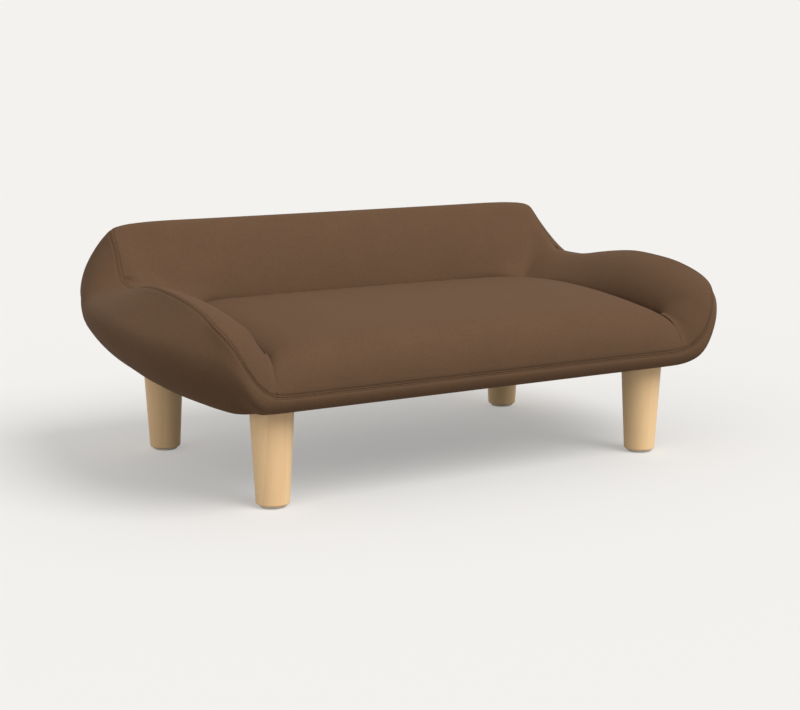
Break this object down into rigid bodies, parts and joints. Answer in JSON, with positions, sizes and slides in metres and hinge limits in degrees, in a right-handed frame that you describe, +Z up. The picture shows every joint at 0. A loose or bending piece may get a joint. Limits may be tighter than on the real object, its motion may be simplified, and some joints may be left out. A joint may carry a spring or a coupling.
{
  "type": "dog sofa bed",
  "caption": "Small upholstered pet sofa bed with rolled arms that sweep down to the front, a low leaning backrest, a padded seat and tapered screw-in wooden legs.",
  "frame": {"origin": "on the floor under the middle of the sofa", "axes": "+X to the right as seen from the front, +Y from front to back, +Z up"},
  "size_m": [0.7806, 0.4408, 0.2882],
  "materials": {
    "brown_cloth": "matte smooth brown suede-like cloth",
    "base_cloth": "thin black non-woven cloth",
    "foam": "cut upholstery foam",
    "plywood": "bare plywood",
    "softwood": "planed softwood batten",
    "beech": "turned light wood, clear matt lacquer",
    "zinc_steel": "zinc-plated steel",
    "glide_plastic": "pale moulded plastic"
  },
  "bodies": {
    "sofa_body": {"seat_foam": "foam", "backrest_foam": "foam", "left_corner_foam": "foam", "right_corner_foam": "foam", "left_arm_foam": "foam", "right_arm_foam": "foam", "seat_cover": "brown_cloth", "front_band": "brown_cloth", "left_outer_cover": "brown_cloth", "right_outer_cover": "brown_cloth", "back_cover": "brown_cloth", "backrest_cover": "brown_cloth", "left_corner_cover": "brown_cloth", "right_corner_cover": "brown_cloth", "left_arm_cover": "brown_cloth", "right_arm_cover": "brown_cloth", "base_board": "plywood", "left_arm_panel": "plywood", "right_arm_panel": "plywood", "backrest_panel": "plywood", "backrest_braces": "plywood", "front_rail": "softwood", "rear_rail": "softwood", "centre_rail": "softwood", "left_rail": "softwood", "right_rail": "softwood", "dust_cover": "base_cloth", "frame_screws": "zinc_steel", "t_nuts": "zinc_steel"},
    "left_front_travel": {"glide_left_front": "glide_plastic"},
    "left_front_leg": {"leg_left_front": "beech", "bolt_left_front": "zinc_steel"},
    "left_rear_travel": {"glide_left_rear": "glide_plastic"},
    "left_rear_leg": {"leg_left_rear": "beech", "bolt_left_rear": "zinc_steel"},
    "right_front_travel": {"glide_right_front": "glide_plastic"},
    "right_front_leg": {"leg_right_front": "beech", "bolt_right_front": "zinc_steel"},
    "right_rear_travel": {"glide_right_rear": "glide_plastic"},
    "right_rear_leg": {"leg_right_rear": "beech", "bolt_right_rear": "zinc_steel"}
  },
  "joints": [
    {"name": "left_front_travel", "type": "slide", "parent": "sofa_body", "child": "left_front_travel", "axis": [0, 0, -1], "range_m": [0, 0.0151]},
    {"name": "left_front_turn", "type": "hinge", "parent": "left_front_travel", "child": "left_front_leg", "pos_m": [-0.2565, -0.156, 0.05], "axis": [0, 0, -1], "range_deg": [0, 4320]},
    {"name": "left_rear_travel", "type": "slide", "parent": "sofa_body", "child": "left_rear_travel", "axis": [0, 0, -1], "range_m": [0, 0.0151]},
    {"name": "left_rear_turn", "type": "hinge", "parent": "left_rear_travel", "child": "left_rear_leg", "pos_m": [-0.2565, 0.156, 0.05], "axis": [0, 0, -1], "range_deg": [0, 4320]},
    {"name": "right_front_travel", "type": "slide", "parent": "sofa_body", "child": "right_front_travel", "axis": [0, 0, -1], "range_m": [0, 0.0151]},
    {"name": "right_front_turn", "type": "hinge", "parent": "right_front_travel", "child": "right_front_leg", "pos_m": [0.2565, -0.156, 0.05], "axis": [0, 0, -1], "range_deg": [0, 4320]},
    {"name": "right_rear_travel", "type": "slide", "parent": "sofa_body", "child": "right_rear_travel", "axis": [0, 0, -1], "range_m": [0, 0.0151]},
    {"name": "right_rear_turn", "type": "hinge", "parent": "right_rear_travel", "child": "right_rear_leg", "pos_m": [0.2565, 0.156, 0.05], "axis": [0, 0, -1], "range_deg": [0, 4320]}
  ],
  "couplings": [
    {"joint": "left_front_travel", "follows": "left_front_turn", "m_per_rad": 0.00019894},
    {"joint": "left_rear_travel", "follows": "left_rear_turn", "m_per_rad": 0.00019894},
    {"joint": "right_front_travel", "follows": "right_front_turn", "m_per_rad": 0.00019894},
    {"joint": "right_rear_travel", "follows": "right_rear_turn", "m_per_rad": 0.00019894}
  ]
}
